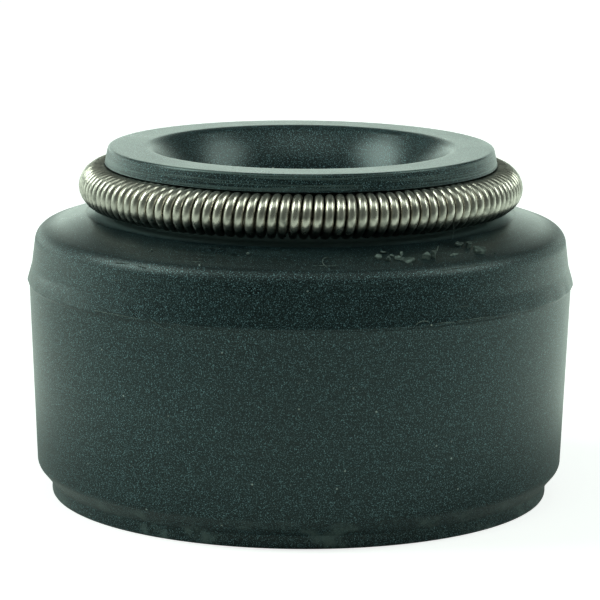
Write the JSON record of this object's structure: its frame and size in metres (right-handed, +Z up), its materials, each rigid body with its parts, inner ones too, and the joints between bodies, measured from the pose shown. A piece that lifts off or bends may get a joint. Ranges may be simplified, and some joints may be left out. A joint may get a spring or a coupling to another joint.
{
  "type": "valve stem seal",
  "caption": "Moulded rubber valve stem seal: a stepped cap with a guide bore, a funnel-shaped lip for the stem, and a steel garter spring round its head.",
  "frame": {"origin": "centre of the flat bottom face that goes down over the valve guide", "axes": "+Z up along the valve stem, out of the lip; the spring's joint is on the +Y side"},
  "size_m": [0.0152, 0.0152, 0.0097],
  "materials": {
    "moulded_rubber": "moulded, semi-gloss black",
    "spring_steel": "bright drawn wire"
  },
  "bodies": {
    "root": {"rubber_body": "moulded_rubber", "garter_spring": "spring_steel"}
  },
  "joints": []
}
